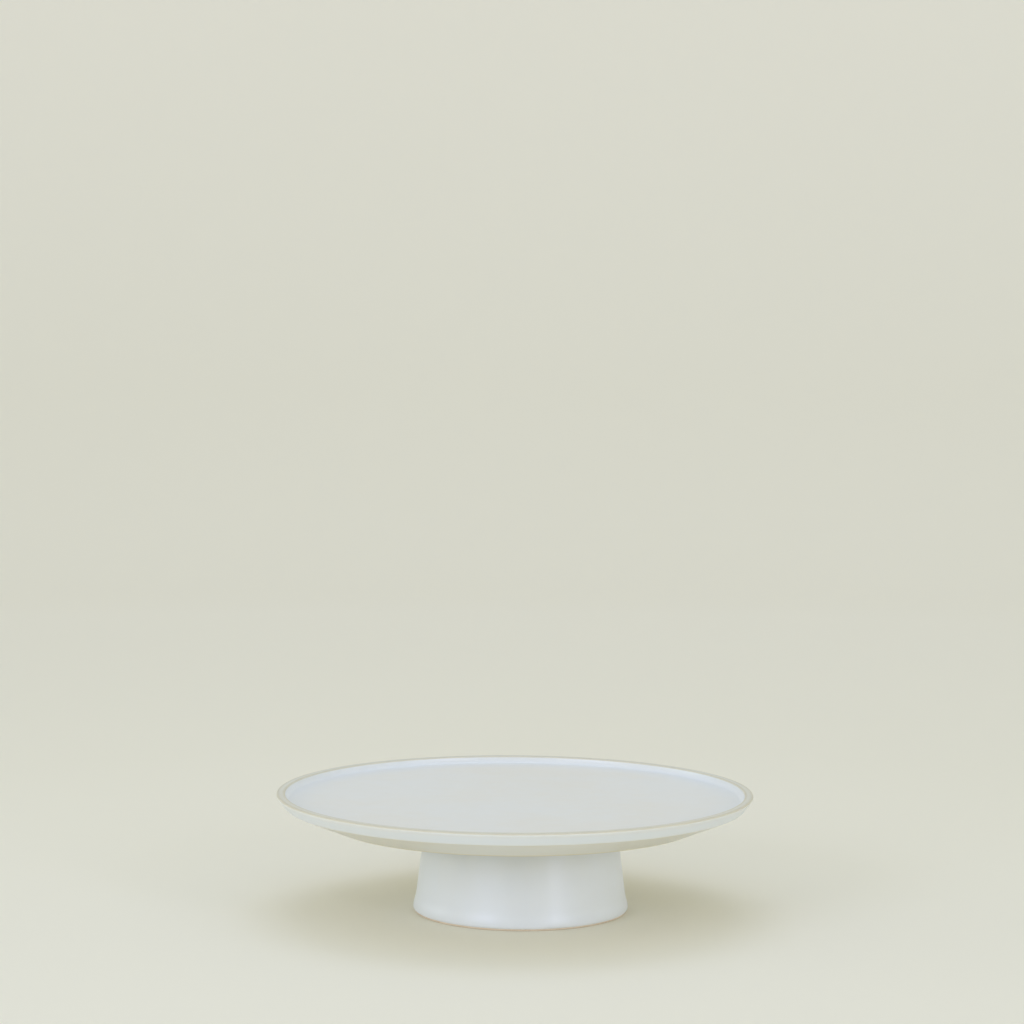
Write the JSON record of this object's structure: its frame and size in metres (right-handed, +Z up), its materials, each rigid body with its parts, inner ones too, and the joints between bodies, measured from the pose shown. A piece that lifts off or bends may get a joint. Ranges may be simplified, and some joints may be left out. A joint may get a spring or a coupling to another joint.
{
  "type": "cake stand",
  "caption": "Low footed cake stand in glazed stoneware: a round plate with a shallow well and a flat bare-edged lip, on a broad hollow pedestal.",
  "frame": {"origin": "on the surface that the stand rests on, under the middle of the plate", "axes": "+Z up through the middle of the plate; +X towards the side that the pedestal stands a few millimetres off to; +Y to the back"},
  "size_m": [0.305, 0.305, 0.0765],
  "materials": {
    "stoneware": "fired bare, with a thin dry veil of glaze over the lip; fine even grain",
    "slip": "fired joining clay, smoothed, under the glaze",
    "glaze": "pale cool grey-white satin glaze with soft broad highlights, thinner and warmer on the arrises"
  },
  "bodies": {
    "root": {"plate": "stoneware", "pedestal": "stoneware", "slip_joint": "slip", "well_glaze": "glaze", "underside_glaze": "glaze", "pedestal_glaze": "glaze", "hollow_glaze": "glaze"}
  },
  "joints": []
}
